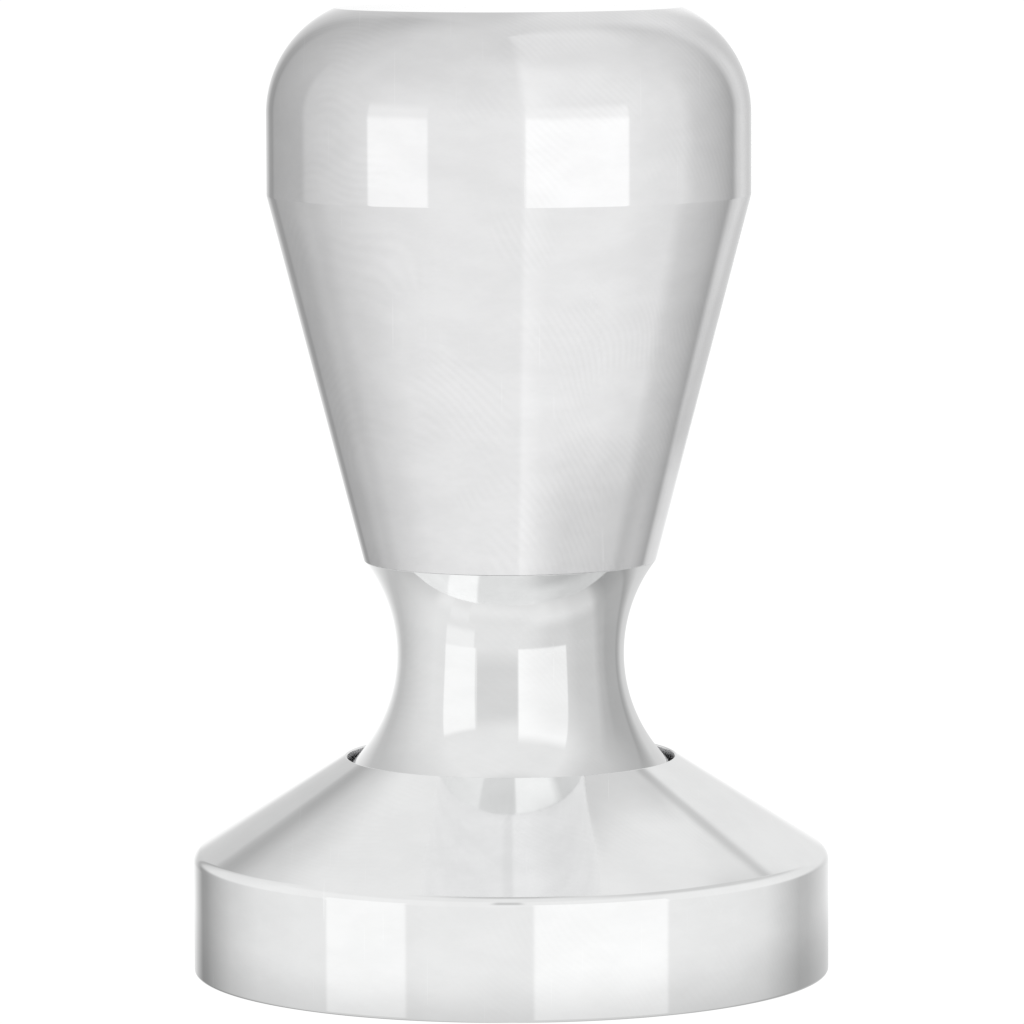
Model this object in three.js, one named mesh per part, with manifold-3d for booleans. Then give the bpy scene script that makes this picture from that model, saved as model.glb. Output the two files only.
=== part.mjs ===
// A calibrated espresso tamper, in millimetres, +Z up. The origin is the centre of the flat
// tamping face.
//
// A stainless piston carries a shoulder screw that stands up through the waisted neck. The neck
// and the flared grip screw together and slide on that shoulder. A preloaded coil spring inside
// the grip holds them up against the screw's head. Above the set force the handle drops by
// TRAVEL, and its skirt clicks on the landing ring. The handle also swivels freely about the
// screw, on a slippery disc above the spring's upper seat.

import * as THREE from "three";
import { mergeVertices } from "three/addons/utils/BufferGeometryUtils.js";
import Module from "manifold-3d";

const wasm = await Module();
wasm.setup();

// ---- Driving dimensions -------------------------------------------------------------------------

const SIDES = { shell: 56, neck: 36, small: 24, coil: 14 }; // flats round a full turn
const ARC_STEPS = { corner: 4, shoulder: 6, waist: 10, oRing: 10, wire: 4 }; // flats along an arc
const TRAVEL = 2.0; // how far the handle drops when the spring yields
const SEAT_GAP = 0.02; // left between faces that slide on each other
const FIT = 0.05; // radial clearance of a piece that slots inside another
const LOOSE = 0.3; // radial clearance of the discs stacked in the grip's bore
const EDGE = 0.3; // edge break on turned corners
const THIN_EDGE = 0.1; // edge break on a shim
const WELD = 0.001; // points closer than this are one point

const BASE = {
  radius: 29, // for a 58 mm filter basket
  cornerZ: 10.83, // where the cone's line would meet the side
  fillet: 1.8,
  rimRadius: 14.95,
  rimZ: 19.85,
  rimBreak: 0.15,
  floorZ: 11, // floor of the well that the neck's skirt moves in
  bossRadius: 7.5,
  bossZ: 13,
  socketFloorZ: 3.4,
  drillPoint: 1,
};
const GRIP = {
  footZ: 37.7,
  footRadius: 13.3,
  footBreak: 0.15,
  bandLowZ: 71, // the straight band between the cone and the shoulder
  bandRadius: 21.95,
  shoulder: 10.45, // radius of the shoulder's arc
  topZ: 87.9,
  topRadius: 15.7, // of the flat palm face
  socketDepth: 8.9,
  chamberRadius: 9.5,
  chamberTopZ: 82,
  drillPoint: 2.2,
};
const NECK = {
  waistRadius: 10.35,
  waistZ: 29.1,
  arc: 14.1, // radius of the hollow curve
  shoulderZ: 37.65, // where the grip's foot sits
  skirtRadius: 14.45,
  skirtBore: 12.2,
  skirtRoofZ: 18,
  boreRadius: 6.5, // holds the guide bushes
  counterboreRadius: 8.6,
  counterboreZ: 42,
  topZ: 46,
  reliefRadius: 9.9,
  reliefTopZ: 39.1,
};
const THREAD_WALL = 0.01; // how far from a thread's radius a point may be and still be cut
const GRIP_THREAD = { radius: 11, pitch: 1.5, depth: 0.85, turns: 4 };
const SCREW_THREAD = { radius: 4, pitch: 1.25, depth: 0.72, turns: 6 };
const SCREW = {
  shoulderRadius: 5,
  shoulderLength: 30,
  headRadius: 8,
  headHeight: 6,
  hexAcross: 5,
  hexDepth: 3.2,
  threadLength: 9,
  undercutRadius: 3.2,
};
const SPRING = { wire: 2.2, meanRadius: 7.8, coils: 10, endCoils: 1, endPitch: 2.32, length: 26.6 };
const BUSH = { flangeRadius: 8.3, flange: 1.2, lowerLength: 8.5 };
const LANDING = { inner: 11.2, outer: 14.2, height: 1.6 };
const WASHER = { lock: 1.2, spring: 1.2, rebound: 1, shim: 0.5, disc: 1 }; // thicknesses
const SEAT = { thickness: 2, spigotRadius: 6.3, spigotLength: 4, holeRadius: 2 };
const GRIP_RING_SECTION = 1; // thickness of the O-ring that seals the neck's joint with the grip

// ---- Heights worked out from them, from the tamping face up -------------------------------------

const skirtFootZ = BASE.floorZ + LANDING.height + TRAVEL + FIT;
const screwSeatZ = BASE.bossZ + WASHER.lock;
const headZ = screwSeatZ + SCREW.shoulderLength;
const headTopZ = headZ + SCREW.headHeight;
const springFootZ = headTopZ + WASHER.spring;
const springTopZ = springFootZ + SPRING.length;
const seatTopZ = springTopZ + SEAT.thickness;
const discTopZ = seatTopZ + WASHER.disc;
const bushBoreRadius = SCREW.shoulderRadius + FIT;
const bushRadius = NECK.boreRadius - FIT;
const lowerBushTopZ = NECK.skirtRoofZ + BUSH.lowerLength;
const spindleRingSection = bushRadius - bushBoreRadius;
const upperBushFootZ = lowerBushTopZ + spindleRingSection + 2 * FIT;
const reboundFootZ = NECK.counterboreZ + BUSH.flange;
const discRadius = GRIP.chamberRadius - LOOSE;

// ---- Materials ----------------------------------------------------------------------------------

function finish(color, roughness, metalness) {
  return new THREE.MeshStandardMaterial({ color, roughness, metalness });
}

const MATERIALS = {
  polishedSteel: finish(0xdcdddd, 0.1, 1),
  polishedAluminium: finish(0xe4e5e6, 0.1, 1),
  machinedSteel: finish(0x9a9b9d, 0.35, 1),
  springSteel: finish(0x7d8084, 0.3, 1),
  bronze: finish(0xb08a55, 0.4, 1),
  rubber: finish(0x1c1c1e, 0.85, 0),
  acetal: finish(0xe9e7df, 0.6, 0),
};

// ---- Shape helpers ------------------------------------------------------------------------------

// Turns an outline about Z. Its points are [radius, z], anticlockwise with the radius to the
// right, so that faces point outwards.
function lathe(outline, sides = SIDES.small) {
  const points = outline.map(([radius, z]) => new THREE.Vector2(radius, z));
  const [first, last] = [points[0], points[points.length - 1]];
  if (first.x > 0 || last.x > 0) points.push(first.clone());
  return new THREE.LatheGeometry(points, sides).rotateX(Math.PI / 2);
}

// Points along a circular arc about [radius, z], with angles anticlockwise from straight outwards.
function arcPoints([radius, z], size, from, to, steps) {
  return Array.from({ length: steps + 1 }, (_, i) => {
    const angle = from + ((to - from) * i) / steps;
    return [radius + size * Math.cos(angle), z + size * Math.sin(angle)];
  });
}

// A ring of rectangular section with its outer corners broken.
function ring(inner, outer, low, high, edge = EDGE / 2) {
  return lathe([
    [inner, low],
    [outer - edge, low],
    [outer, low + edge],
    [outer, high - edge],
    [outer - edge, high],
    [inner, high],
  ]);
}

// Rows of points up a straight wall, close enough together for sinkThread to shape them.
function threadRows({ radius, pitch, turns }, low) {
  const rowsPerTurn = 4;
  return Array.from({ length: turns * rowsPerTurn + 1 }, (_, i) => {
    return [radius, low + (i * pitch) / rowsPerTurn];
  });
}

// Sinks a right-hand V thread into the wall that threadRows made, fading out at both ends.
function sinkThread(geometry, { radius, pitch, depth, turns }, low) {
  const position = geometry.attributes.position;
  const high = low + turns * pitch;
  const runOut = pitch / 4;
  for (let i = 0; i < position.count; i++) {
    const [x, y, z] = [position.getX(i), position.getY(i), position.getZ(i)];
    const r = Math.hypot(x, y);
    const onWall = Math.abs(r - radius) < THREAD_WALL && z >= low && z <= high;
    if (!onWall) continue;
    const turn = (z - low) / pitch - Math.atan2(y, x) / (2 * Math.PI);
    const valley = 1 - 2 * Math.abs(turn - Math.floor(turn) - 0.5);
    const fade = Math.min(1, (z - low) / runOut, (high - z) / runOut);
    const share = 1 - (depth * valley * fade) / radius;
    position.setXYZ(i, x * share, y * share, z);
  }
  return geometry;
}

function toSolid(geometry) {
  const bare = geometry.clone();
  bare.deleteAttribute("normal");
  bare.deleteAttribute("uv");
  const merged = mergeVertices(bare, WELD);
  const vertProperties = merged.attributes.position.array;
  const triVerts = new Uint32Array(merged.index.array);
  return new wasm.Manifold(new wasm.Mesh({ numProp: 3, vertProperties, triVerts }));
}

function toGeometry(solid) {
  const { vertProperties, triVerts } = solid.getMesh();
  const geometry = new THREE.BufferGeometry();
  geometry.setAttribute("position", new THREE.BufferAttribute(vertProperties, 3));
  geometry.setIndex(new THREE.BufferAttribute(triVerts, 1));
  return geometry;
}

const tamper = new THREE.Group();

function add(name, geometry, material) {
  const mesh = new THREE.Mesh(geometry, material);
  mesh.name = name;
  tamper.add(mesh);
}

// ---- The piston and what stays with it ----------------------------------------------------------

// Flat-faced piston: straight side, rounded corner, and a cone up to a sharp-rimmed well with a
// tapped boss in its floor.
function tampingBase() {
  const { radius, cornerZ, fillet, rimRadius, rimZ, rimBreak } = BASE;
  const { floorZ, bossRadius, bossZ, socketFloorZ, drillPoint } = BASE;
  const slope = Math.atan2(rimZ - cornerZ, radius - rimRadius);
  const bend = Math.PI / 2 - slope;
  const cornerCentre = [radius - fillet, cornerZ - fillet * Math.tan(bend / 2)];
  const socketRadius = SCREW_THREAD.radius + FIT;
  return lathe(
    [
      [0, 0],
      [radius - EDGE, 0],
      [radius, EDGE],
      ...arcPoints(cornerCentre, fillet, 0, bend, ARC_STEPS.corner),
      [rimRadius + rimBreak, rimZ - rimBreak * Math.tan(slope)],
      [rimRadius, rimZ - rimBreak],
      [rimRadius, floorZ],
      [bossRadius, floorZ],
      [bossRadius, bossZ],
      [socketRadius + EDGE, bossZ],
      [socketRadius, bossZ - EDGE],
      [socketRadius, socketFloorZ],
      [0, socketFloorZ - drillPoint],
    ],
    SIDES.shell,
  );
}

// Socket-head shoulder screw: threaded end down, ground shoulder as the guide, and a head as the
// handle's upper stop.
function shoulderScrew() {
  const { shoulderRadius, headRadius, headHeight } = SCREW;
  const { hexAcross, hexDepth, threadLength, undercutRadius } = SCREW;
  const threadFootZ = screwSeatZ - threadLength;
  const threadTopZ = threadFootZ + SCREW_THREAD.turns * SCREW_THREAD.pitch;
  const body = lathe([
    [0, threadFootZ - EDGE],
    [SCREW_THREAD.radius - SCREW_THREAD.depth, threadFootZ - EDGE],
    ...threadRows(SCREW_THREAD, threadFootZ),
    [undercutRadius, threadTopZ + EDGE],
    [undercutRadius, screwSeatZ],
    [shoulderRadius - EDGE, screwSeatZ],
    [shoulderRadius, screwSeatZ + EDGE],
    [shoulderRadius, headZ],
    [headRadius - EDGE, headZ],
    [headRadius, headZ + EDGE],
    [headRadius, headTopZ - EDGE],
    [headRadius - EDGE, headTopZ],
    [0, headTopZ],
  ]);
  sinkThread(body, SCREW_THREAD, threadFootZ);
  const hexRadius = hexAcross / Math.sqrt(3);
  const socket = new THREE.CylinderGeometry(hexRadius, hexRadius, headHeight, 6);
  socket.rotateX(Math.PI / 2).translate(0, 0, headTopZ - hexDepth + headHeight / 2);
  return toGeometry(toSolid(body).subtract(toSolid(socket)));
}

// The coil's centre line: closed coils at each end and an even pitch between them. It starts and
// ends a quarter of the wire's thickness inside the spring's length, so the ends grind flat.
class CoilCurve extends THREE.Curve {
  getPoint(t, target = new THREE.Vector3()) {
    const { meanRadius, coils, endCoils, endPitch, length, wire } = SPRING;
    const turn = t * coils;
    const openCoils = coils - 2 * endCoils;
    const openPitch = (length - wire / 2 - 2 * endCoils * endPitch) / openCoils;
    const openTurns = THREE.MathUtils.clamp(turn - endCoils, 0, openCoils);
    const height = wire / 4 + (turn - openTurns) * endPitch + openTurns * openPitch;
    const angle = turn * 2 * Math.PI;
    return target.set(meanRadius * Math.cos(angle), meanRadius * Math.sin(angle), height);
  }
}

// Compression spring with closed ends ground flat.
function coilSpring() {
  const { wire, meanRadius, coils, length } = SPRING;
  const section = new THREE.Shape().absarc(0, 0, wire / 2, 0, 2 * Math.PI);
  const extrusion = new THREE.ExtrudeGeometry(section, {
    steps: coils * SIDES.coil,
    curveSegments: ARC_STEPS.wire,
    extrudePath: new CoilCurve(),
    bevelEnabled: false,
  });
  const across = 2 * (meanRadius + wire);
  const kept = new THREE.BoxGeometry(across, across, length).translate(0, 0, length / 2);
  const ground = toSolid(extrusion).intersect(toSolid(kept));
  return toGeometry(ground).translate(0, 0, springFootZ);
}

// ---- The upper spring seat, which drops with the handle but needn't turn with it ----------------

function upperSpringSeat() {
  const { spigotRadius, spigotLength, holeRadius } = SEAT;
  const spigotFootZ = springTopZ - spigotLength;
  return lathe([
    [holeRadius, spigotFootZ],
    [spigotRadius - 3 * EDGE, spigotFootZ],
    [spigotRadius, spigotFootZ + 3 * EDGE],
    [spigotRadius, springTopZ],
    [discRadius - EDGE, springTopZ],
    [discRadius, springTopZ + EDGE],
    [discRadius, seatTopZ - EDGE],
    [discRadius - EDGE, seatTopZ],
    [holeRadius, seatTopZ],
  ]);
}

// ---- The handle ---------------------------------------------------------------------------------

// Flared grip: cone, straight band, rounded shoulder and flat palm face, bored from below.
function grip() {
  const { footZ, footRadius, footBreak, bandLowZ, bandRadius, shoulder, topZ, topRadius } = GRIP;
  const { socketDepth, chamberRadius, chamberTopZ, drillPoint } = GRIP;
  const socketRadius = GRIP_THREAD.radius + 2 * FIT;
  const shoulderCentre = bandRadius - shoulder;
  const shoulderEnd = Math.acos((topRadius - shoulderCentre) / shoulder);
  const bandHighZ = topZ - shoulder * Math.sin(shoulderEnd);
  return lathe(
    [
      [socketRadius + EDGE, footZ],
      [footRadius - footBreak, footZ],
      [footRadius, footZ + footBreak],
      [bandRadius, bandLowZ],
      ...arcPoints([shoulderCentre, bandHighZ], shoulder, 0, shoulderEnd, ARC_STEPS.shoulder),
      [0, topZ],
      [0, chamberTopZ + drillPoint],
      [chamberRadius, chamberTopZ],
      [chamberRadius, footZ + socketDepth],
      [socketRadius, footZ + socketDepth],
      [socketRadius, footZ + EDGE],
    ],
    SIDES.shell,
  );
}

// Waisted neck: skirt in the base's well, hollow curve, shoulder for the grip's foot and a
// threaded spigot above it.
function neck() {
  const { waistRadius, waistZ, arc, shoulderZ, skirtRadius, skirtBore, skirtRoofZ } = NECK;
  const { boreRadius, counterboreRadius, counterboreZ, topZ, reliefRadius, reliefTopZ } = NECK;
  const arcCentre = waistRadius + arc;
  const arcFoot = Math.PI + Math.acos((arcCentre - skirtRadius) / arc);
  const arcTop = Math.PI - Math.asin((shoulderZ - waistZ) / arc);
  const body = lathe(
    [
      [skirtBore, skirtFootZ],
      [skirtRadius - EDGE, skirtFootZ],
      [skirtRadius, skirtFootZ + EDGE],
      ...arcPoints([arcCentre, waistZ], arc, arcFoot, arcTop, ARC_STEPS.waist),
      [reliefRadius, shoulderZ],
      [reliefRadius, reliefTopZ],
      ...threadRows(GRIP_THREAD, reliefTopZ + EDGE),
      [GRIP_THREAD.radius - GRIP_THREAD.depth, topZ],
      [counterboreRadius, topZ],
      [counterboreRadius, counterboreZ],
      [boreRadius, counterboreZ],
      [boreRadius, skirtRoofZ],
      [skirtBore, skirtRoofZ],
    ],
    SIDES.neck,
  );
  return sinkThread(body, GRIP_THREAD, reliefTopZ + EDGE);
}

// Flanged guide bush: direction +1 has its flange on top, -1 below.
function guideBush(barrelZ, flangeZ, direction) {
  const outline = [
    [bushBoreRadius, barrelZ],
    [bushRadius - EDGE, barrelZ],
    [bushRadius, barrelZ + direction * EDGE],
    [bushRadius, flangeZ],
    [BUSH.flangeRadius, flangeZ],
    [BUSH.flangeRadius, flangeZ + direction * (BUSH.flange - EDGE)],
    [BUSH.flangeRadius - EDGE, flangeZ + direction * BUSH.flange],
    [bushBoreRadius, flangeZ + direction * BUSH.flange],
  ];
  return lathe(direction > 0 ? outline : outline.reverse());
}

// A rubber ring of round section.
function oRing(innerRadius, section, middleZ) {
  const centre = [innerRadius + section / 2, middleZ];
  return lathe(arcPoints(centre, section / 2, 0, 2 * Math.PI, ARC_STEPS.oRing).slice(0, -1));
}

// Takes the knock when the screw's head stops the handle coming back up.
function reboundWasher() {
  const high = reboundFootZ + WASHER.rebound - SEAT_GAP;
  return ring(bushBoreRadius, SCREW.headRadius, reboundFootZ, high);
}

// Lets the handle turn freely over the spring's seat.
function thrustDisc() {
  return ring(SEAT.holeRadius, discRadius, seatTopZ + SEAT_GAP, discTopZ);
}

// Shims packed between the disc and the end of the grip's bore set the spring's preload.
function preloadShim(index) {
  const low = discTopZ + index * WASHER.shim;
  return ring(SEAT.holeRadius, discRadius, low, low + WASHER.shim, THIN_EDGE);
}

// ---- Assembly -----------------------------------------------------------------------------------

const { polishedSteel, polishedAluminium, machinedSteel } = MATERIALS;
const { springSteel, bronze, rubber, acetal } = MATERIALS;
const landingTopZ = BASE.floorZ + LANDING.height;
const lockWasherBore = SCREW_THREAD.radius + 2 * FIT;
const spindleRingZ = (lowerBushTopZ + upperBushFootZ) / 2;
const gripRingZ = (NECK.shoulderZ + NECK.reliefTopZ) / 2;

const landingRing = ring(LANDING.inner, LANDING.outer, BASE.floorZ, landingTopZ);
const lockWasher = ring(lockWasherBore, BASE.bossRadius - EDGE, BASE.bossZ, screwSeatZ);
const springWasher = ring(SCREW.shoulderRadius, discRadius, headTopZ, springFootZ);
const spindleRing = oRing(bushBoreRadius, spindleRingSection, spindleRingZ);
const gripRing = oRing(NECK.reliefRadius + 2 * FIT, GRIP_RING_SECTION, gripRingZ);

add("tamping_base", tampingBase(), polishedSteel);
add("landing_ring", landingRing, machinedSteel);
add("lock_washer", lockWasher, springSteel);
add("shoulder_screw", shoulderScrew(), machinedSteel);
add("spring_washer", springWasher, machinedSteel);
add("coil_spring", coilSpring(), springSteel);

add("upper_spring_seat", upperSpringSeat(), machinedSteel);

add("neck", neck(), polishedSteel);
add("lower_guide_bush", guideBush(lowerBushTopZ, NECK.skirtRoofZ, -1), bronze);
add("spindle_o_ring", spindleRing, rubber);
add("upper_guide_bush", guideBush(upperBushFootZ, NECK.counterboreZ, 1), bronze);
add("rebound_washer", reboundWasher(), acetal);
add("grip_o_ring", gripRing, rubber);
add("grip", grip(), polishedAluminium);
add("thrust_disc", thrustDisc(), acetal);
add("preload_shim_1", preloadShim(0), machinedSteel);
add("preload_shim_2", preloadShim(1), machinedSteel);

export default tamper;
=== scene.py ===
"""Looks for the espresso tamper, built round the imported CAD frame.

Every piece is turned again here at fine resolution with its real edge roundings, and rides on the
body its CAD node belongs to. Sizes are in millimetres until a mesh is made, which is in metres.
The studio is half of how polished metal looks. The greys of its walls were read from the
photograph rather than designed, as the Studio section says.
"""

import math
from types import SimpleNamespace

import bmesh
import bpy
from mathutils import Matrix, Vector


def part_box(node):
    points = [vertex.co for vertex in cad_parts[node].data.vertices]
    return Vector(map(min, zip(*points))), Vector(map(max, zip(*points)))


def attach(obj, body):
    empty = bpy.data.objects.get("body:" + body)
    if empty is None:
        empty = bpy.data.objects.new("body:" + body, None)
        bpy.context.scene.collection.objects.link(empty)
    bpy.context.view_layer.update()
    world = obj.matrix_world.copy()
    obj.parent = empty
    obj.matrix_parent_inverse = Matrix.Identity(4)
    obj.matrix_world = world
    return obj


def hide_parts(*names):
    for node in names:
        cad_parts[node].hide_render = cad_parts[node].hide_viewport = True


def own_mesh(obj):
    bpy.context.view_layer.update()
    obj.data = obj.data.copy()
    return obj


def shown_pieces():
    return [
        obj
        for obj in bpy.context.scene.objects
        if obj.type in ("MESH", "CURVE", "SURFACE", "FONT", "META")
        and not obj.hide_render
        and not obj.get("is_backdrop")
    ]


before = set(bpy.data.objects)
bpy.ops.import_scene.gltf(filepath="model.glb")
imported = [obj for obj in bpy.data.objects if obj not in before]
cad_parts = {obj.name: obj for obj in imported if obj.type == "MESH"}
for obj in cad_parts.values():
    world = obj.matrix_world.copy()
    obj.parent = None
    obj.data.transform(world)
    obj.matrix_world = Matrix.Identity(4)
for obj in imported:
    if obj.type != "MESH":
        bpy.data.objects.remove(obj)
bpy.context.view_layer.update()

MM = 0.001
TINY = 1e-6
TURN = 2 * math.pi


def box_mm(node):
    """Lowest and highest corner of a CAD node, in millimetres."""
    low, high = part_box(node)
    return low / MM, high / MM


# ---- Sizes, in millimetres ---------------------------------------------------------------------

SHELL_STEPS = 384  # columns round a piece that shows
INNER_STEPS = 96  # columns round a piece inside
ARC_STEPS = 96  # rows along a large arc that shows

CRISP, LIGHT, EASED = 0.1, 0.2, 0.3  # edge roundings that several pieces share

base_low, base_high = box_mm("tamping_base")
neck_low, neck_high = box_mm("neck")
grip_low, grip_high = box_mm("grip")
screw_low, screw_high = box_mm("shoulder_screw")
spring_low, spring_high = box_mm("coil_spring")

BASE = SimpleNamespace(
    radius=base_high.x,
    corner_z=10.83,  # where the cone's line would meet the side
    corner_edge=1.2,
    rim_radius=14.95,
    rim_z=19.85,
    rim_edge=0.14,
    floor_z=11.0,
    boss_radius=7.5,
    boss_z=13.0,
    socket_radius=4.05,
    socket_floor_z=3.4,
    drill_point=1.0,
)
GRIP = SimpleNamespace(
    foot_z=grip_low.z,
    foot_radius=13.3,
    foot_edge=0.06,
    band_low_z=71.0,
    band_edge=0.6,
    band_radius=grip_high.x,
    shoulder=10.45,
    top_z=grip_high.z,
    top_radius=15.7,
    socket_radius=11.1,
    socket_depth=8.9,
    chamber_radius=9.5,
    chamber_top_z=82.0,
    drill_point=2.2,
)
NECK = SimpleNamespace(
    waist_radius=10.35,
    waist_z=29.1,
    arc=14.1,
    shoulder_z=GRIP.foot_z - 0.01,
    shoulder_edge=0.03,
    skirt_radius=neck_high.x,
    skirt_edge=0.25,
    skirt_foot_z=neck_low.z,
    skirt_bore=12.2,
    skirt_roof_z=18.0,
    bore_radius=6.5,
    counterbore_radius=8.6,
    counterbore_z=42.0,
    top_z=neck_high.z,
    relief_radius=9.9,
    relief_top_z=39.1,
    lead_in=0.3,
)
GRIP_THREAD = SimpleNamespace(radius=11.0, pitch=1.5, depth=0.85, turns=4)
SCREW_THREAD = SimpleNamespace(radius=4.0, pitch=1.25, depth=0.72, turns=6)
SCREW = SimpleNamespace(
    shoulder_radius=5.0,
    head_radius=screw_high.x,
    head_top_z=screw_high.z,
    head_height=6.0,
    shoulder_length=30.0,
    head_edge=0.4,
    lead_in=0.3,
    undercut_radius=3.2,
    hex_across=5.0,
    hex_depth=3.2,
    drill_point=0.6,
)
SPRING = SimpleNamespace(
    wire=2.2,
    mean_radius=7.8,
    coils=10,
    end_coils=1,
    end_pitch=2.32,
    foot_z=spring_low.z,
    length=spring_high.z - spring_low.z,
)
FLANGE = 1.2  # thickness of the guide bushes' flanges
BUSH_RADIUS = NECK.bore_radius - 0.05
SPIGOT_RADIUS = 6.3  # of the upper spring seat, inside the spring


# ---- Turned outlines ---------------------------------------------------------------------------

SHARP_ANGLE = math.radians(40)  # a threaded or hexagonal piece's edges beyond this stay sharp


class Outline:
    """An outline to be turned about Z, walked anticlockwise with the radius to the right.

    It is kept as runs of (radius, z, normal radius part, normal z part), so that every straight
    or round stretch is shaded exactly, and small roundings are put in where two runs meet.
    finish is the material of the runs that follow, and can be changed on the way round.
    """

    def __init__(self, radius, z, finish):
        self.start = (radius, z)
        self.pen = (radius, z)
        self.finish = finish
        self.runs = []
        self.edges = []
        self.finishes = []

    def move(self, radius, z):
        """Lifts the pen along the axis, to begin a hollow inside."""
        self.pen = (radius, z)

    def _add(self, run, edge):
        self.runs.append(run)
        self.edges.append(edge)
        self.finishes.append(self.finish)
        self.pen = run[-1][:2]

    def line(self, radius, z, edge=0.0, steps=1):
        """Goes straight to a point. edge is the rounding there."""
        (r0, z0), (dr, dz) = self.pen, (radius - self.pen[0], z - self.pen[1])
        length = math.hypot(dr, dz)
        normal = (dz / length, -dr / length)
        run = [(r0 + dr * i / steps, z0 + dz * i / steps, *normal) for i in range(steps + 1)]
        self._add(run, edge)

    def arc(self, centre, size, start, end, steps=ARC_STEPS, edge=0.0):
        """Follows a circle from one angle to another; it is hollow if the angle falls."""
        side = 1 if end > start else -1
        run = []
        for i in range(steps + 1):
            angle = start + (end - start) * i / steps
            c, s = math.cos(angle), math.sin(angle)
            run.append((centre[0] + size * c, centre[1] + size * s, side * c, side * s))
        self._add(run, edge)

    def close(self, edge=0.0):
        """Goes straight back to the start."""
        self.line(*self.start, edge=edge)

    def rounded(self):
        """The runs with a small arc put in at each edge, as (points, finish) pairs."""
        runs = [list(run) for run in self.runs]
        made = []
        for i, edge in enumerate(self.edges):
            following = runs[(i + 1) % len(runs)]
            made.append((runs[i], self.finishes[i]))
            if edge > 0:
                made.append((_round_edge(runs[i], following, edge), self.finishes[i]))
        return made


def _round_edge(before, after, size, steps=5):
    """Trims two runs where they meet and returns the small arc that joins them."""
    r, z, n0 = *before[-1][:2], Vector(before[-1][2:])
    n1 = Vector(after[0][2:])
    turn = n0.angle_signed(n1)  # clockwise positive
    trim = size * math.tan(abs(turn) / 2)
    before[-1] = (r + n0.y * trim, z - n0.x * trim, *n0)
    after[0] = (r - n1.y * trim, z + n1.x * trim, *n1)
    side = 1 if turn < 0 else -1
    centre = Vector(before[-1][:2]) - n0 * size * side
    run = []
    for i in range(steps + 1):
        share = i / steps
        angle = -turn * share
        c, s = math.cos(angle), math.sin(angle)
        n = Vector((n0.x * c - n0.y * s, n0.x * s + n0.y * c))
        run.append((*(centre + n * size * side), *n))
    return run


def turned(name, outline, steps=INNER_STEPS, shape=None):
    """Makes the mesh of an outline. shape(radius, z, angle) may move a point in or out."""
    materials = list(dict.fromkeys(outline.finishes))
    vertices, faces, normals, slots, rings = [], [], [], [], {}

    def circle(radius, z):
        """Indices of the points round one circle, made the first time it is asked for."""
        key = (round(radius, 5), round(z, 5))
        if key not in rings:
            first = len(vertices)
            count = steps if radius > TINY else 1
            for j in range(count):
                angle = TURN * j / steps
                r = shape(radius, z, angle) if shape else radius
                vertices.append((r * math.cos(angle) * MM, r * math.sin(angle) * MM, z * MM))
            rings[key] = [first + j % count for j in range(steps + 1)]
        return rings[key]

    def normal(point, column):
        """The exact normal of a round wall, or zero to let Blender work out a shaped one's."""
        angle = TURN * column / steps
        radius, z, out, up = point
        if shape and any(abs(shape(radius, z, a) - radius) > TINY for a in (0, angle)):
            return (0, 0, 0)
        return (out * math.cos(angle), out * math.sin(angle), up)

    for run, finish in outline.rounded():
        for a, b in zip(run, run[1:]):
            low, high = circle(*a[:2]), circle(*b[:2])
            if low is high:
                continue
            for j in range(steps):
                corners = [(low[j], a, j), (low[j + 1], a, j + 1)]
                corners += [(high[j + 1], b, j + 1), (high[j], b, j)]
                kept = [c for k, c in enumerate(corners) if c[0] != corners[k - 1][0]]
                faces.append([vertex for vertex, _, _ in kept])
                slots.append(materials.index(finish))
                normals += [normal(point, column) for _, point, column in kept]
    made = mesh_object(name, vertices, faces, materials)
    made.data.polygons.foreach_set("material_index", slots)
    if shape:
        made.data.set_sharp_from_angle(angle=SHARP_ANGLE)
    made.data.normals_split_custom_set(normals)
    return made


def mesh_object(name, vertices, faces, materials):
    """A smooth-shaded object made of the given points and faces."""
    mesh = bpy.data.meshes.new(name)
    mesh.from_pydata(vertices, [], faces)
    mesh.polygons.foreach_set("use_smooth", [True] * len(faces))
    for material in materials:
        mesh.materials.append(material)
    made = bpy.data.objects.new(name, mesh)
    bpy.context.scene.collection.objects.link(made)
    return made


ROWS_A_TURN = 8  # of mesh along a thread, for each of its turns


def thread_cut(thread, low):
    """A shape() that sinks a right-hand V thread into a wall, fading out at both ends."""
    high = low + thread.turns * thread.pitch
    run_out = thread.pitch / 4

    def shape(radius, z, angle):
        if abs(radius - thread.radius) > 0.01 or not low < z < high:
            return radius
        turn = (z - low) / thread.pitch - angle / TURN
        valley = 1 - 2 * abs(turn - math.floor(turn) - 0.5)
        fade = min(1, (z - low) / run_out, (high - z) / run_out)
        return radius - thread.depth * valley * fade

    return shape


# ---- Shader helpers ----------------------------------------------------------------------------

MARKS = SimpleNamespace(  # sizes of the marks on metal, in millimetres
    groove=0.11,
    groove_depth=0.0004,
    cloud=7.0,
    wave=6.0,
    wave_depth=0.01,
    swirl_pitch=0.52,
    swirl_patch=9.0,
    scratch=0.25,
    speck_spacing=1.6,
    speck_share=0.05,  # of the cells on the speck grid
)


def node(tree, kind, inputs=None, **settings):
    """Adds a shader node; an input's value may be a number, a tuple or another node's output."""
    made = tree.nodes.new("ShaderNode" + kind)
    for key, value in settings.items():
        setattr(made, key, value)
    for key, value in (inputs or {}).items():
        if isinstance(value, bpy.types.NodeSocket):
            tree.links.new(value, made.inputs[key])
        else:
            made.inputs[key].default_value = value
    return made


def maths(tree, operation, *values):
    """Adds a maths node and gives its result."""
    return node(tree, "Math", dict(enumerate(values)), operation=operation).outputs[0]


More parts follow.
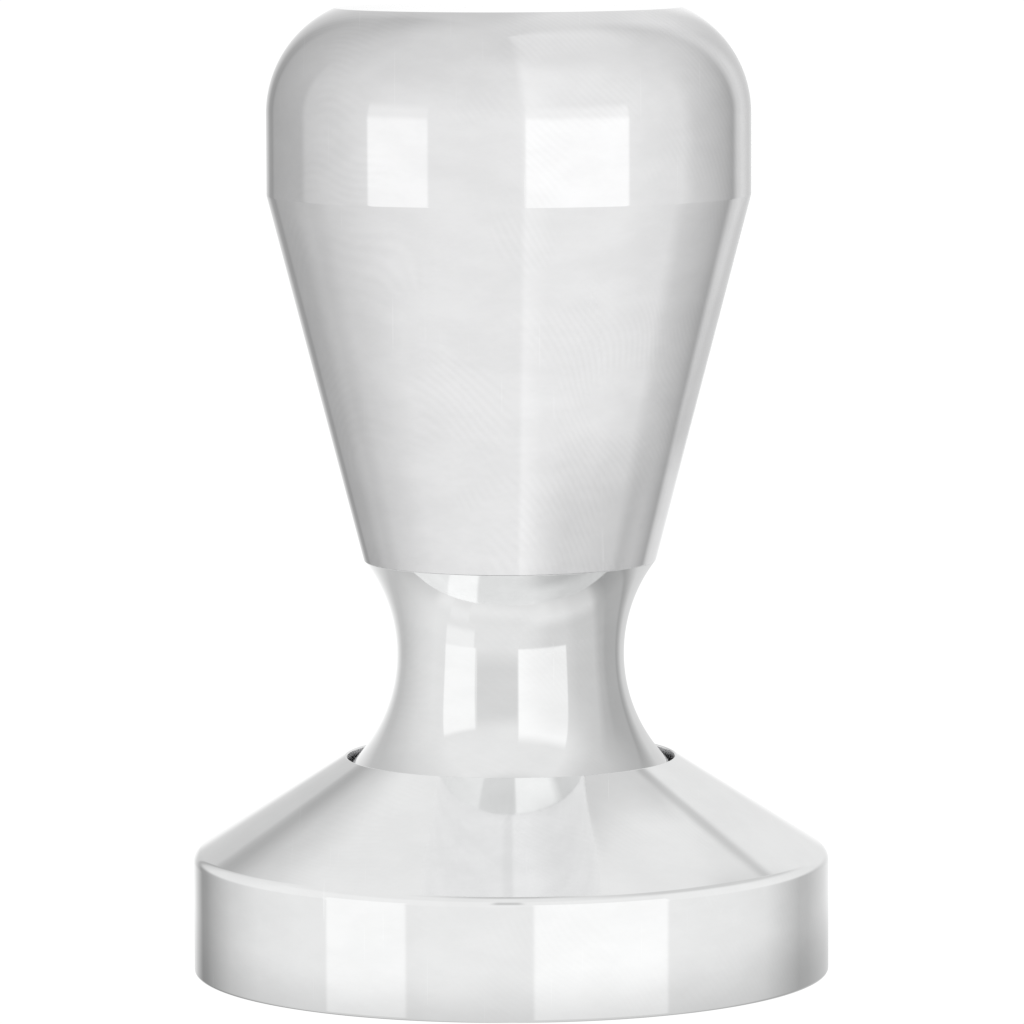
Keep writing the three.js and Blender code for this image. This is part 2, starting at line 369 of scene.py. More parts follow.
def ease(tree, value, low, high, start=0.0, end=1.0):
    """Goes smoothly from start to end as value goes from low to high."""
    inputs = {"Value": value, "From Min": low, "From Max": high, "To Min": start, "To Max": end}
    return node(tree, "MapRange", inputs, interpolation_type="SMOOTHSTEP").outputs["Result"]


def blank_material(name):
    """A new material, and its node tree with nothing in it."""
    material = bpy.data.materials.new(name)
    material.use_nodes = True
    material.node_tree.nodes.clear()
    return material, material.node_tree


def noise(tree, point, size, detail=2.0, roughness=0.5):
    """Noise from 0 to 1, mostly from 0.3 to 0.7. size is its largest blots', in millimetres."""
    inputs = {"Vector": point, "Scale": 1 / (size * MM), "Detail": detail, "Roughness": roughness}
    return node(tree, "TexNoise", inputs).outputs["Fac"]


def lathe_marks(tree, point):
    """Noise drawn out into fine grooves that run round the axis, as a cutting tool leaves them."""
    flat = node(tree, "VectorMath", {0: point, 1: (1, 1, 0)}, operation="MULTIPLY").outputs[0]
    radius = node(tree, "VectorMath", {0: flat}, operation="LENGTH").outputs["Value"]
    height = node(tree, "SeparateXYZ", {0: point}).outputs["Z"]
    section = node(tree, "CombineXYZ", {0: radius, 1: height}).outputs[0]
    drift = node(tree, "VectorMath", {0: point, "Scale": 0.02}, operation="SCALE").outputs[0]
    along = node(tree, "VectorMath", {0: section, 1: drift}, operation="ADD").outputs[0]
    return noise(tree, along, MARKS.groove, detail=3.0, roughness=0.6)


def polishing_swirls(tree, point):
    """Fine curved ripples, in patches, where a polishing wheel has passed."""
    # The phase of a diagonal wave texture is 10 times its scale times (x + y + z).
    scale = TURN / (10 * math.sqrt(3) * MARKS.swirl_pitch * MM)
    ripple = {"Vector": point, "Scale": scale, "Distortion": 26, "Detail": 0, "Detail Scale": 0.14}
    waves = node(tree, "TexWave", ripple, bands_direction="DIAGONAL").outputs["Fac"]
    patch = ease(tree, noise(tree, point, MARKS.swirl_patch), 0.46, 0.6)
    return maths(tree, "MULTIPLY", maths(tree, "SUBTRACT", waves, 0.5), patch)


def hairlines(tree, point, turn):
    """Sparse thin scratches: noise stretched out along one direction, and only its peaks."""
    mapped = {"Vector": point, "Rotation": turn, "Scale": (1.0, 0.02, 0.02)}
    stretched = node(tree, "Mapping", mapped, vector_type="POINT").outputs[0]
    return ease(tree, noise(tree, stretched, MARKS.scratch, detail=1.0), 0.75, 0.8)


def specks(tree, point):
    """Small dots: one in some of the cells of a grid, and only in a share of them."""
    cells = node(tree, "TexVoronoi", {"Vector": point, "Scale": 1 / (MARKS.speck_spacing * MM)})
    chosen = maths(tree, "LESS_THAN", cells.outputs["Color"], MARKS.speck_share)
    dot = ease(tree, cells.outputs["Distance"], 0.05, 0.1, 1.0, 0.0)
    return maths(tree, "MULTIPLY", dot, chosen)


def blend(tree, share, first, second):
    """Goes from the first colour to the second as share goes from 0 to 1, and on past both."""
    inputs = {0: share, 6: (*first, 1), 7: (*second, 1)}
    return node(tree, "Mix", inputs, data_type="RGBA", clamp_factor=False).outputs[2]


def metal(name, colour, roughness, grooves=0.3, swirls=0.0, worn=0.5, cloudy=0.045):
    """Metal off a lathe: grooves, slow waves from polishing, cloudy patches, scratches, specks."""
    material, tree = blank_material(name)
    point = node(tree, "TexCoord").outputs["Object"]
    groove = lathe_marks(tree, point)
    low = node(tree, "VectorMath", {0: point, 1: (1, 1, 2)}, operation="MULTIPLY").outputs[0]
    cloud = noise(tree, low, MARKS.cloud, detail=6.0, roughness=0.66)
    one_way = hairlines(tree, point, (0.3, 0.5, 0.9))
    other_way = hairlines(tree, point, (1.1, -0.4, 2.2))
    scratch = maths(tree, "MAXIMUM", one_way, other_way)

    shade = ease(tree, cloud, 0.3, 0.7)
    shade = maths(tree, "MULTIPLY_ADD", polishing_swirls(tree, point), swirls, shade)
    shade = maths(tree, "MULTIPLY_ADD", specks(tree, point), -worn, shade)
    shade = maths(tree, "MULTIPLY_ADD", scratch, worn, shade)
    tint = blend(tree, shade, [c * (1 - cloudy) for c in colour], colour)

    rough = ease(tree, cloud, 0.25, 0.75, roughness * 1.25, roughness * 0.8)
    rough = maths(tree, "MULTIPLY_ADD", groove, roughness * 0.3, rough)
    rough = maths(tree, "MULTIPLY_ADD", scratch, worn * 0.15, rough)

    waves = noise(tree, point, MARKS.wave, detail=1.0)
    height = {"Height": waves, "Strength": 0.4, "Distance": MARKS.wave_depth * MM}
    slow = node(tree, "Bump", height).outputs[0]
    height = {"Height": groove, "Strength": grooves, "Distance": MARKS.groove_depth * MM}
    normal = node(tree, "Bump", {**height, "Normal": slow}).outputs[0]
    surface = {"Base Color": tint, "Metallic": 1.0, "Roughness": rough, "Normal": normal}
    shader = node(tree, "BsdfPrincipled", surface).outputs[0]
    node(tree, "OutputMaterial", {"Surface": shader})
    return material


def soft_material(name, colour, roughness, grain):
    """Rubber or plastic with a faint grain and a few rubbed patches."""
    material, tree = blank_material(name)
    point = node(tree, "TexCoord").outputs["Object"]
    speck = noise(tree, point, 0.4, detail=4.0)
    rubbed = ease(tree, noise(tree, point, 5.0), 0.45, 0.65)
    shade = maths(tree, "MULTIPLY_ADD", rubbed, 0.4, speck)
    mixed = blend(tree, shade, [c * 0.85 for c in colour], [min(1, c * 1.1) for c in colour])
    height = {"Height": speck, "Strength": grain, "Distance": 0.02 * MM}
    normal = node(tree, "Bump", height).outputs[0]
    rough = ease(tree, shade, 0.3, 1.0, roughness * 1.1, roughness * 0.85)
    surface = {"Base Color": mixed, "Roughness": rough, "Normal": normal}
    shader = node(tree, "BsdfPrincipled", surface).outputs[0]
    node(tree, "OutputMaterial", {"Surface": shader})
    return material


POLISHED_STEEL = metal("polished_steel", (0.945, 0.95, 0.95), 0.045, swirls=0.2, worn=0.6)
POLISHED_ALUMINIUM = metal(
    "polished_aluminium", (0.95, 0.95, 0.955), 0.045, swirls=0.4, worn=0.6, cloudy=0.055
)
WELL_STEEL = metal("well_steel", (0.6, 0.6, 0.61), 0.3, grooves=1.0)
TURNED_STEEL = metal("turned_steel", (0.36, 0.36, 0.37), 0.4, grooves=1.0)
MACHINED_STEEL = metal("machined_steel", (0.58, 0.585, 0.6), 0.3, grooves=0.8)
SPRING_STEEL = metal("spring_steel", (0.42, 0.43, 0.45), 0.32, grooves=0.5)
BRONZE = metal("bronze", (0.7, 0.5, 0.27), 0.35, grooves=0.8)
RUBBER = soft_material("black_rubber", (0.02, 0.02, 0.022), 0.7, 0.4)
ACETAL = soft_material("acetal", (0.82, 0.81, 0.77), 0.5, 0.15)


# ---- Pieces ------------------------------------------------------------------------------------


def put_on(body, node_name, piece):
    """Puts a piece on a CAD body in place of the CAD node that it is a finer version of."""
    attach(piece, body)
    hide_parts(node_name)
    return piece


def piston():
    """Flat face, straight side, rounded corner, cone, sharp bright rim and the well inside it."""
    b = BASE
    outline = Outline(0, 0, POLISHED_STEEL)
    outline.line(b.radius, 0, edge=EASED, steps=6)
    outline.line(b.radius, b.corner_z, edge=b.corner_edge)
    outline.line(b.rim_radius, b.rim_z, edge=b.rim_edge)
    outline.finish = WELL_STEEL
    outline.line(b.rim_radius, b.floor_z, edge=EASED)
    outline.finish = TURNED_STEEL
    outline.line(b.boss_radius, b.floor_z, edge=EASED)
    outline.line(b.boss_radius, b.boss_z, edge=LIGHT)
    outline.line(b.socket_radius, b.boss_z, edge=EASED)
    outline.line(b.socket_radius, b.socket_floor_z)
    outline.line(0, b.socket_floor_z - b.drill_point)
    made = turned("piston", outline, SHELL_STEPS)
    return put_on("base", "tamping_base", made)


def neck():
    """Waisted neck: skirt, hollow curve, shoulder under the grip, threaded spigot and bores."""
    n, thread = NECK, GRIP_THREAD
    centre = (n.waist_radius + n.arc, n.waist_z)
    foot = math.pi + math.acos((centre[0] - n.skirt_radius) / n.arc)
    top = math.pi - math.asin((n.shoulder_z - n.waist_z) / n.arc)
    skirt_top_z = centre[1] + n.arc * math.sin(foot)
    thread_low = n.relief_top_z + n.lead_in
    thread_high = thread_low + thread.turns * thread.pitch
    outline = Outline(n.skirt_bore, n.skirt_foot_z, POLISHED_STEEL)
    outline.line(n.skirt_radius, n.skirt_foot_z, edge=EASED)
    outline.line(n.skirt_radius, skirt_top_z, edge=n.skirt_edge)
    outline.arc(centre, n.arc, foot, top, edge=n.shoulder_edge)
    outline.finish = TURNED_STEEL
    outline.line(n.relief_radius, n.shoulder_z, edge=LIGHT)
    outline.line(n.relief_radius, n.relief_top_z)
    outline.line(thread.radius, thread_low)
    outline.line(thread.radius, thread_high, steps=thread.turns * ROWS_A_TURN)
    outline.line(thread.radius - thread.depth, n.top_z, edge=CRISP)
    outline.line(n.counterbore_radius, n.top_z, edge=LIGHT)
    outline.line(n.counterbore_radius, n.counterbore_z)
    outline.line(n.bore_radius, n.counterbore_z, edge=CRISP)
    outline.line(n.bore_radius, n.skirt_roof_z, edge=CRISP)
    outline.line(n.skirt_bore, n.skirt_roof_z)
    outline.close(edge=LIGHT)
    made = turned("neck_turned", outline, SHELL_STEPS, thread_cut(thread, thread_low))
    return put_on("handle", "neck", made)


def grip():
    """Flared grip: cone, straight band, rounded shoulder and flat palm face, bored from below."""
    g = GRIP
    shoulder_centre = g.band_radius - g.shoulder
    shoulder_end = math.acos((g.top_radius - shoulder_centre) / g.shoulder)
    band_high_z = g.top_z - g.shoulder * math.sin(shoulder_end)
    outline = Outline(g.socket_radius, g.foot_z, POLISHED_ALUMINIUM)
    outline.line(g.foot_radius, g.foot_z, edge=g.foot_edge)
    outline.line(g.band_radius, g.band_low_z, edge=g.band_edge)
    outline.line(g.band_radius, band_high_z)
    outline.arc((shoulder_centre, band_high_z), g.shoulder, 0, shoulder_end, edge=CRISP)
    outline.line(0, g.top_z, steps=6)
    outline.finish = TURNED_STEEL
    outline.move(0, g.chamber_top_z + g.drill_point)
    outline.line(g.chamber_radius, g.chamber_top_z)
    outline.line(g.chamber_radius, g.foot_z + g.socket_depth, edge=LIGHT)
    outline.line(g.socket_radius, g.foot_z + g.socket_depth)
    outline.close(edge=EASED)
    made = turned("grip_turned", outline, SHELL_STEPS)
    return put_on("handle", "grip", made)


def bore_mm(node_name):
    """Radius of the hole along a CAD node's axis, in millimetres."""
    points = (v.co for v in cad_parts[node_name].data.vertices)
    return min(math.hypot(p.x, p.y) for p in points) / MM


def ring(node_name, body, material, edge=0.15):
    """A washer or disc of rectangular section, the size of its CAD node."""
    low, high = box_mm(node_name)
    inner = bore_mm(node_name)
    outline = Outline(inner, low.z, material)
    outline.line(high.x, low.z, edge=edge)
    outline.line(high.x, high.z, edge=edge)
    outline.line(inner, high.z, edge=edge / 2)
    outline.close(edge=edge / 2)
    return put_on(body, node_name, turned(node_name + "_turned", outline))


def o_ring(name, node_name):
    """A rubber ring of round section in the handle, the size of its CAD node."""
    low, high = box_mm(node_name)
    section = high.x - bore_mm(node_name)
    outline = Outline(high.x, (low.z + high.z) / 2, RUBBER)
    centre = (high.x - section / 2, (low.z + high.z) / 2)
    outline.arc(centre, section / 2, 0, TURN, steps=24)
    return put_on("handle", node_name, turned(name, outline))


def shoulder_screw():
    """Socket-head shoulder screw, with its thread and hexagon socket."""
    s, thread = SCREW, SCREW_THREAD
    head_z = s.head_top_z - s.head_height
    seat_z = head_z - s.shoulder_length
    thread_low = screw_low.z + s.lead_in
    thread_high = thread_low + thread.turns * thread.pitch
    socket_floor_z = s.head_top_z - s.hex_depth
    cut = thread_cut(thread, thread_low)
    apothem = s.hex_across / 2

    def shape(radius, z, angle):
        """Turns the socket's circle into a hexagon, and cuts the thread."""
        if abs(radius - apothem) < TINY:
            sixth = TURN / 6
            return apothem / math.cos((angle + sixth / 2) % sixth - sixth / 2)
        return cut(radius, z, angle)

    outline = Outline(0, screw_low.z, MACHINED_STEEL)
    outline.line(thread.radius - thread.depth, screw_low.z)
    outline.line(thread.radius, thread_low)
    outline.line(thread.radius, thread_high, steps=thread.turns * ROWS_A_TURN)
    outline.line(s.undercut_radius, thread_high + s.lead_in)
    outline.line(s.undercut_radius, seat_z, edge=LIGHT)
    outline.line(s.shoulder_radius, seat_z, edge=EASED)
    outline.line(s.shoulder_radius, head_z, edge=CRISP)
    outline.line(s.head_radius, head_z, edge=LIGHT)
    outline.line(s.head_radius, s.head_top_z, edge=s.head_edge)
    outline.line(apothem, s.head_top_z)
    outline.line(apothem, socket_floor_z)
    outline.line(0, socket_floor_z - s.drill_point)
    made = turned("shoulder_screw_turned", outline, INNER_STEPS, shape)
    return put_on("base", "shoulder_screw", made)


def guide_bush(name, node_name, flange_up):
    """Flanged plain bearing in the handle, with its flange above or below its barrel."""
    low, high = box_mm(node_name)
    inner = bore_mm(node_name)
    outline = Outline(inner, low.z, BRONZE)
    if flange_up:
        outline.line(BUSH_RADIUS, low.z, edge=EASED)
        outline.line(BUSH_RADIUS, high.z - FLANGE)
        outline.line(high.x, high.z - FLANGE, edge=CRISP)
        outline.line(high.x, high.z, edge=EASED)
    else:
        outline.line(high.x, low.z, edge=EASED)
        outline.line(high.x, low.z + FLANGE, edge=CRISP)
        outline.line(BUSH_RADIUS, low.z + FLANGE)
        outline.line(BUSH_RADIUS, high.z, edge=EASED)
    outline.line(inner, high.z, edge=EASED / 2)
    outline.close(edge=EASED / 2)
    return put_on("handle", node_name, turned(name, outline))


def upper_seat():
    """Cup washer whose spigot centres the top of the spring."""
    low, high = box_mm("upper_spring_seat")
    inner = bore_mm("upper_spring_seat")
    spring_top_z = SPRING.foot_z + SPRING.length
    outline = Outline(inner, low.z, MACHINED_STEEL)
    outline.line(SPIGOT_RADIUS, low.z, edge=2 * EASED)
    outline.line(SPIGOT_RADIUS, spring_top_z)
    outline.line(high.x, spring_top_z, edge=LIGHT)
    outline.line(high.x, high.z, edge=EASED)
    outline.line(inner, high.z, edge=LIGHT)
    outline.close(edge=LIGHT)
    made = turned("upper_seat_turned", outline)
    return put_on("spring_carriage", "upper_spring_seat", made)


def coil():
    """Compression spring with closed ends, ground flat."""
    s = SPRING
    steps, sides = 64 * s.coils, 20
    open_coils = s.coils - 2 * s.end_coils
    open_pitch = (s.length - s.wire / 2 - 2 * s.end_coils * s.end_pitch) / open_coils
    vertices = []
    for i in range(steps + 1):
        turn = s.coils * i / steps
        open_turns = min(max(turn - s.end_coils, 0), open_coils)
        height = s.wire / 4 + (turn - open_turns) * s.end_pitch + open_turns * open_pitch
        angle = TURN * turn
        for j in range(sides):
            round_wire = TURN * j / sides
            radius = s.mean_radius + s.wire / 2 * math.cos(round_wire)
            z = min(max(height + s.wire / 2 * math.sin(round_wire), 0), s.length)
            point = Vector((radius * math.cos(angle), radius * math.sin(angle), s.foot_z + z))
            vertices.append(point * MM)
    faces = [list(range(sides))[::-1], [steps * sides + j for j in range(sides)]]
    for i in range(steps):
        for j in range(sides):
            a, b = i * sides + j, i * sides + (j + 1) % sides
            faces.append([a, b, b + sides, a + sides])
    made = mesh_object("spring_coil", vertices, faces, [SPRING_STEEL])
    made.data.set_sharp_from_angle(angle=math.radians(30))
    put_on("base", "coil_spring", made)
    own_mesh(made)
    return made


piston_piece = piston()
ring("landing_ring", "base", MACHINED_STEEL)
ring("lock_washer", "base", SPRING_STEEL)
shoulder_screw()
ring("spring_washer", "base", MACHINED_STEEL)
coil()

upper_seat()

neck_piece = neck()
guide_bush("lower_bush_turned", "lower_guide_bush", flange_up=False)
guide_bush("upper_bush_turned", "upper_guide_bush", flange_up=True)
o_ring("spindle_ring_moulded", "spindle_o_ring")
o_ring("grip_ring_moulded", "grip_o_ring")
ring("rebound_washer", "handle", ACETAL)
grip()
ring("thrust_disc", "handle", ACETAL)
for shim in ("preload_shim_1", "preload_shim_2"):
    ring(shim, "handle", MACHINED_STEEL, edge=0.08)


# ---- Studio ------------------------------------------------------------------------------------
#
# The tamper stands close to its softboxes and cards, so grip, neck and piston each see them
# placed a little differently. Each has a dome of light of its own, which only it reflects.
# Directions are in degrees: azimuth from the camera towards +X, and elevation above level.
# Brightness is the grey, from 0 to 255, that polished metal shows when it reflects it.

METAL_SHARE = 0.94  # of the light that polished metal gives back
WHITE = 1.05  # brightness of the counter and the backdrop, a little overexposed


def tone(grey):
    """The light that polished metal shows as a grey from 0 to 255, by the sRGB curve."""
    return ((grey / 255 + 0.055) / 1.055) ** 2.4 / METAL_SHARE


def card(grey, azimuth, elevation, left=0.8, right=0.8, foot=0.8, top=0.8):
    """A card or softbox seen between two azimuths and two elevations.

    left, right, foot and top say how soft its four edges are, in degrees.
    """
    return SimpleNamespace(
        grey=grey, azimuth=azimuth, elevation=elevation, sides=(left, right), ends=(foot, top)
    )


BEHIND = 180
ALL_ROUND = (-200, 200)
ZENITH_CARD = card(185, ALL_ROUND, (80, 200), foot=12)

# level and above are the walls' greys by azimuth, at the level and higher up; rising is the
# elevations between which one gives way to the other. overhead and the elevations in roofing
# do the same for the ceiling. echo is the greys that a piece shows where it mirrors another
# one's mirror image. A grey over 255 is brighter than the camera can show.
# The lines of a wall go round it, from behind, past the left, the front and the right, to behind.
#
# level and above aren't a design. A program traced which way sampled points of the photograph
# mirror and printed the photograph's grey there by azimuth, and the stops were written from that,
# then adjusted against renders and thinned. To be replaced by walls laid out by hand. The cards
# and echo began as single readings made the same way. What each is named for is a guess.
GRIP_VIEW = SimpleNamespace(
    level=(
        (-BEHIND, 252), (-170, 214), (-164, 194), (-158, 158), (-152, 150), (-148, 167),
        (-116, 181), (-112, 197), (-94, 208), (-66, 226), (-40, 231),
        (6, 232), (9, 241), (22, 235), (60, 232),
        (90, 222), (99, 205), (123, 181), (133, 164),
        (139, 204), (146, 216), (162, 224), (BEHIND, 252),
    ),
    above=(
        (-BEHIND, 206), (-162, 198), (-156, 186), (-150, 185), (-138, 189),
        (-114, 200), (-84, 213), (-46, 219),
        (4, 224), (9, 237), (50, 231),
        (88, 220), (112, 212), (136, 204),
        (150, 222), (170, 222), (BEHIND, 206),
    ),
    rising=(0, 45),
    overhead=214,
    roofing=(45, 80),
    cards=(
        # two softboxes, brighter in their lower halves
        card(236, (-70, -38.5), (-18, 12), foot=4, top=4),
        card(243, (8, 58.5), (-18, 12), foot=4, top=4),
        card(248, (-70, -38.5), (-18, 2), foot=3, top=3),
        card(253, (8, 58.5), (-18, 2), foot=3, top=3),
        # grey card low on the left, and a panel in the ceiling on the right
        card(190, (-124, -108), (-60, -12), left=9, right=9, foot=1, top=3),
        card(226, (11, 130), (55, 200), left=11, right=25, foot=12),
    ),
    echo=(
        (-BEHIND, 233), (-12, 236), (-6, 229), (0, 229), (4, 240), (22, 240), (50, 231),
        (BEHIND, 233),
    ),
)
NECK_VIEW = SimpleNamespace(
    level=(
        (-BEHIND, 254), (-170, 250), (-144, 191),
        (-136, 190), (-104, 217), (-84, 227),
        (8, 228), (30, 236), (60, 233),
        (72, 224), (94, 220), (103, 188), (113, 171), (133, 174),
        (136, 160), (140, 171), (150, 208), (174, 219), (BEHIND, 254),
    ),
    above=(
        (-BEHIND, 250), (-168, 248), (-150, 180),
        (-144, 178), (-104, 217), (-66, 231),
        (60, 229), (88, 208), (104, 203),
        (145, 176), (154, 212), (174, 220), (BEHIND, 250),
    ),
    rising=(12, 50),
    overhead=230,
    roofing=(60, 80),
    cards=(
        # dark gap between the softboxes, and the bright counter in front of them
        card(214, (-34, 7), (-13, 32), left=1, right=1, foot=10, top=8),
        card(243, (-85, 45), (-80, -44), left=8, right=8, foot=5, top=6),
        # left softbox, with its foot
        card(240, (-70, -38), (-32, -15), foot=3),
        card(249, (-70, -36), (-20, 36), top=2),
        # right softbox, with its hot middle
        card(252, (8, 59), (-20, 45), top=5),
        card(265, (28, 59), (-20, 22), left=16, top=16),
        # left softbox as the counter mirrors it
        card(239, (-68, -46), (-62, -40), left=1, right=1, foot=6, top=6),
        ZENITH_CARD,
    ),
    echo=(
        (-BEHIND, 225), (-70, 232), (-38, 238), (-35, 222), (4, 220), (7, 250), (50, 250),
        (62, 218), (BEHIND, 225),
    ),
)
PISTON_VIEW = SimpleNamespace(
    level=(
        (-BEHIND, 252), (-168, 240), (-151, 152), (-145, 157),
        (-122, 207), (-104, 226), (-84, 232),
        (-40, 232), (-30, 236), (60, 235),
        (88, 232), (104, 225), (128, 185),
        (136, 188), (158, 219), (BEHIND, 252),
    ),
    above=(
        (-BEHIND, 226), (-165, 204), (-158.5, 201), (-157, 173), (-154.5, 175), (-150, 207),
        (-140, 226), (-100, 238), (100, 238),
        (144, 226), (151, 230), (BEHIND, 226),
    ),
    rising=(-3, 7),
    overhead=231,
    roofing=(38, 52),
    cards=(
        # dark edge of the flag behind on the right
        card(200, (148.8, 151), (34, 42), foot=2, top=4),
        # two softboxes
        card(249, (-70, -38.2), (-18, 14)),
        card(252, (8, 58), (-18, 18)),
        # the camera
        card(200, (-7, 4), (22, 42), left=2, right=2, foot=8, top=10),
        ZENITH_CARD,
    ),
    echo=(
        (-BEHIND, 226), (-72, 242), (-70, 258), (-38, 258), (-35, 231), (25, 235), (55, 214),
        (75, 210), (110, 210), (BEHIND, 226),
    ),
)


def wall_light(tree, azimuth, stops):
    """The brightness of the walls all the way round at one elevation."""
    turn = maths(tree, "MULTIPLY_ADD", azimuth, 1 / 360, 0.5)
    ramp = node(tree, "ValToRGB", {"Fac": turn})
    elements = ramp.color_ramp.elements
    while len(elements) < len(stops):
        elements.new(0.5)
    for element, (degrees, grey) in zip(elements, stops):
        element.position = degrees / 360 + 0.5
        element.color = (*[tone(grey)] * 3, 1)
    return ramp.outputs["Color"]


def between(tree, value, limits, edges):
    """1 between two limits and 0 outside them, with edges as soft as asked."""
    risen, fallen = (
        ease(tree, value, limit - soft, limit + soft) for limit, soft in zip(limits, edges)
    )
    return maths(tree, "SUBTRACT", risen, fallen)


def towards(tree, light, target, share):
    """Moves a brightness a share of the way to another."""
    gap = maths(tree, "SUBTRACT", target, light)
    return maths(tree, "MULTIPLY_ADD", gap, share, light)


def light_only(lamp, receivers):
    """Lets only the receivers reflect a lamp."""
    lit = bpy.data.collections.new(lamp.name + "_receivers")
    for piece in receivers:
        lit.objects.link(piece)
    lamp.light_linking.receiver_collection = lit


def seen_in_another_piece(tree):
    """1 for what one piece mirrors of another's mirror image, and 0 for a plain reflection."""
    return maths(tree, "GREATER_THAN", node(tree, "LightPath").outputs["Ray Depth"], 1.5)


def dome(name, view, receivers, radius):
    """A sphere that only the receivers reflect, and that everything else sees through."""
    material, tree = blank_material(name + "_light")
    # Incoming points against the line of sight, so x and z change sign. y doesn't, because
    # azimuth 0 is towards -Y.
    away = node(tree, "NewGeometry").outputs["Incoming"]
    x, y, z = node(tree, "SeparateXYZ", {0: away}).outputs
    x = maths(tree, "MULTIPLY", x, -1)
    z = maths(tree, "MULTIPLY", z, -1)
    azimuth = maths(tree, "DEGREES", maths(tree, "ARCTAN2", x, y))
    elevation = maths(tree, "DEGREES", maths(tree, "ARCSINE", z))
    level = wall_light(tree, azimuth, view.level)
    above = wall_light(tree, azimuth, view.above)
    light = towards(tree, level, above, ease(tree, elevation, *view.rising))
    light = towards(tree, light, tone(view.overhead), ease(tree, elevation, *view.roofing))
    for c in view.cards:
        across = between(tree, azimuth, c.azimuth, c.sides)
        up = between(tree, elevation, c.elevation, c.ends)
        light = towards(tree, light, tone(c.grey), maths(tree, "MULTIPLY", across, up))
    echo = wall_light(tree, azimuth, view.echo)
    light = towards(tree, light, echo, seen_in_another_piece(tree))
    glow = node(tree, "Emission", {"Strength": light}).outputs[0]
    clear = node(tree, "BsdfTransparent").outputs[0]
    both = node(tree, "AddShader", {0: glow, 1: clear}).outputs[0]
    node(tree, "OutputMaterial", {"Surface": both})
    material.cycles.emission_sampling = "NONE"  # it is only ever seen as a reflection

    sphere = bmesh.new()
    bmesh.ops.create_uvsphere(sphere, u_segments=48, v_segments=24, radius=radius)
    mesh = bpy.data.meshes.new(name)
    sphere.to_mesh(mesh)
    sphere.free()
    mesh.materials.append(material)
    made = bpy.data.objects.new(name, mesh)
    made.visible_camera = False
    made.visible_shadow = False
    bpy.context.scene.collection.objects.link(made)
    light_only(made, receivers)
    made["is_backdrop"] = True


def backdrop():
    """The world: white to the camera and dark to everything else, since the domes light that."""
    world = bpy.data.worlds.new("backdrop")
    world.use_nodes = True
    world.cycles.sampling_method = "NONE"
    tree = world.node_tree
    tree.nodes.clear()
    seen = node(tree, "LightPath").outputs["Is Camera Ray"]
    strength = maths(tree, "MULTIPLY", seen, WHITE)
    white = node(tree, "Background", {"Color": (1, 1, 1, 1), "Strength": strength}).outputs[0]
    node(tree, "OutputWorld", {"Surface": white})
    bpy.context.scene.world = world


def net(name, azimuths, heights):
    """A grey net close to the tamper, which dims what the tamper mirrors through it.

    azimuths and heights each have four stops: it starts, is full, starts to thin out, and ends.
    """
    radius, steps, dimmest = 32.0, 48, 0.8
    start, full, thinning, end = azimuths
    foot, full_foot, full_top, top = heights
    vertices, faces = [], []
    for i in range(steps + 1):
        angle = math.radians(start + (end - start) * i / steps)
        x, y = radius * math.sin(angle), -radius * math.cos(angle)
        vertices += [(x * MM, y * MM, height * MM) for height in (foot, top)]
    for i in range(steps):
        faces.append((2 * i, 2 * i + 2, 2 * i + 3, 2 * i + 1))

    material, tree = blank_material(name)
    point = node(tree, "TexCoord").outputs["Object"]
    x, y, z = node(tree, "SeparateXYZ", {0: point}).outputs
    azimuth = maths(tree, "ARCTAN2", x, maths(tree, "MULTIPLY", y, -1))
    azimuth = maths(tree, "DEGREES", azimuth)
    share = ease(tree, azimuth, start, full)
    for edge in (
        ease(tree, azimuth, thinning, end, 1.0, 0.0),
        ease(tree, z, foot * MM, full_foot * MM),
        ease(tree, z, full_top * MM, top * MM, 1.0, 0.0),
    ):
        share = maths(tree, "MULTIPLY", share, edge)
    clear = maths(tree, "MULTIPLY_ADD", share, dimmest - 1, 1.0)
    shader = node(tree, "BsdfTransparent", {"Color": clear}).outputs[0]
    node(tree, "OutputMaterial", {"Surface": shader})
    made = mesh_object(name, vertices, faces, [material])
    made.visible_camera = False
    made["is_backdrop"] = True


def counter_sheet(name, half, drop, material):
    """A square sheet centred on the tamper, a little below its foot so as not to touch it."""
    corners = [(-half, -half), (half, -half), (half, half), (-half, half)]
    vertices = [(x * MM, y * MM, 0) for x, y in corners]
    made = mesh_object(name, vertices, [(0, 1, 2, 3)], [material])
    made.location.z = -drop * MM
    made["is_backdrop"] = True
    return made


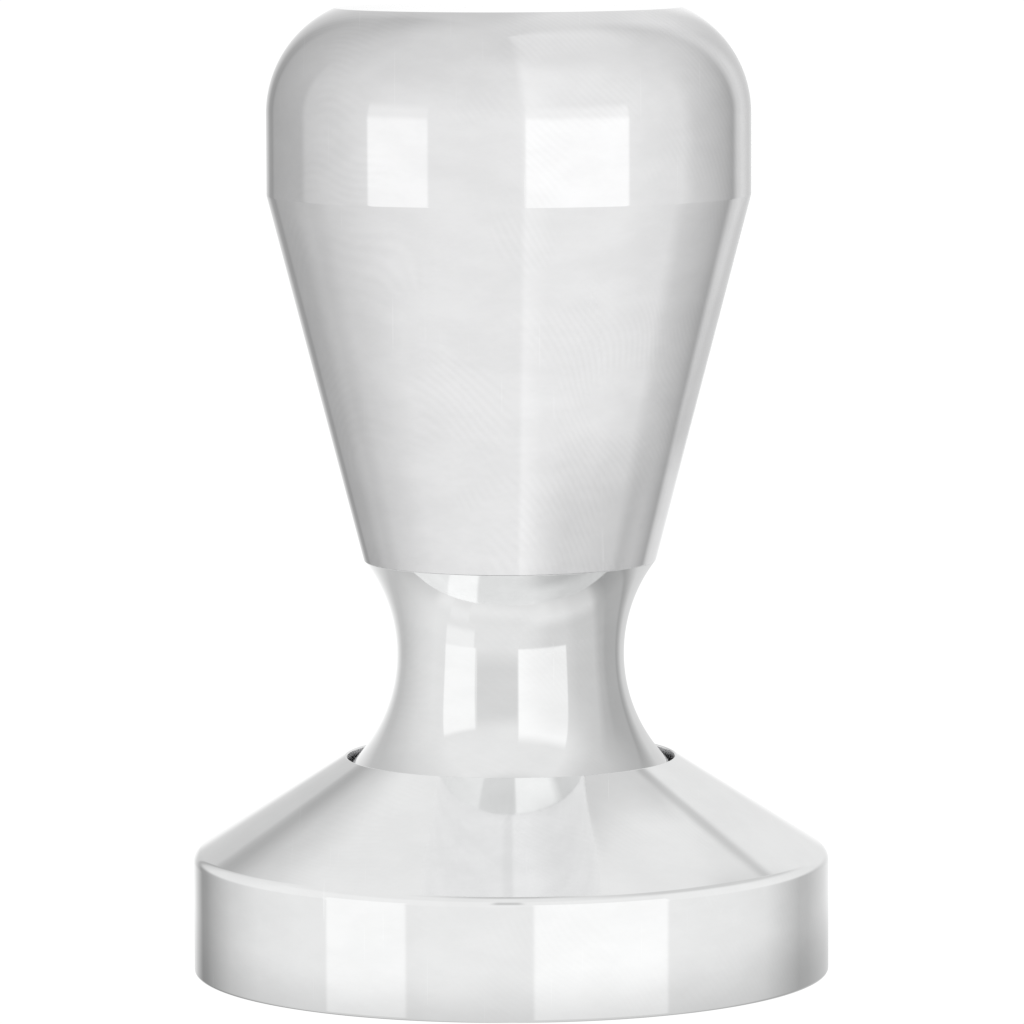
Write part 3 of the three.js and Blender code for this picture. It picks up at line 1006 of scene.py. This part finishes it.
def contact_shade():
    """Dims what the metal sees of the counter close to the tamper, more to its right."""
    centre, near, far, dimmest = (4 * MM, 0, 0), 20 * MM, 58 * MM, 0.74
    material, tree = blank_material("contact_shade")
    point = node(tree, "TexCoord").outputs["Object"]
    offset = node(tree, "VectorMath", {0: point, 1: centre}, operation="DISTANCE")
    clear = ease(tree, offset.outputs["Value"], near, far, dimmest, 1.0)
    clear = maths(tree, "MAXIMUM", clear, seen_in_another_piece(tree))
    shader = node(tree, "BsdfTransparent", {"Color": clear}).outputs[0]
    node(tree, "OutputMaterial", {"Surface": shader})
    counter_sheet("contact_shade", 90, 0.05, material).visible_camera = False


def floor():
    """Plain white counter. Its light is the same everywhere, as on the overexposed backdrop."""
    material, tree = blank_material("white_counter")
    shader = node(tree, "Emission", {"Color": (1, 1, 1, 1), "Strength": WHITE}).outputs[0]
    node(tree, "OutputMaterial", {"Surface": shader})
    counter_sheet("floor", 6000, 0.1, material).visible_glossy = False


def camera():
    """Long lens a little higher than the tamper, looking slightly down at it."""
    distance, height = 629.0, 106.7  # of the lens, from the axis and the counter
    down, turn, roll = (math.radians(a) for a in (5.87, -0.017, -0.2))
    data = bpy.data.cameras.new("camera")
    data.sensor_width = 36.0
    data.lens = 244.2
    data.clip_start, data.clip_end = 0.01, 50.0
    made = bpy.data.objects.new("camera", data)
    facing = Matrix.Rotation(turn, 4, "Z") @ Matrix.Rotation(math.pi / 2 - down, 4, "X")
    facing = facing @ Matrix.Rotation(roll, 4, "Z")
    made.matrix_world = Matrix.Translation((0, -distance * MM, height * MM)) @ facing
    bpy.context.scene.collection.objects.link(made)
    bpy.context.scene.camera = made


own_view = (piston_piece, neck_piece)
others = [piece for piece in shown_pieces() if piece not in own_view]
dome("piston_dome", PISTON_VIEW, [piston_piece], radius=3.0)
dome("neck_dome", NECK_VIEW, [neck_piece], radius=3.1)
dome("grip_dome", GRIP_VIEW, others, radius=3.2)
backdrop()
net("front_net", (4, 38, 78, 94), (14, 19, 30, 45))
net("back_net", (103, 117, 130, 145), (38, 46, 90, 110))
contact_shade()
floor()
camera()
bpy.context.scene.view_settings.view_transform = "Standard"
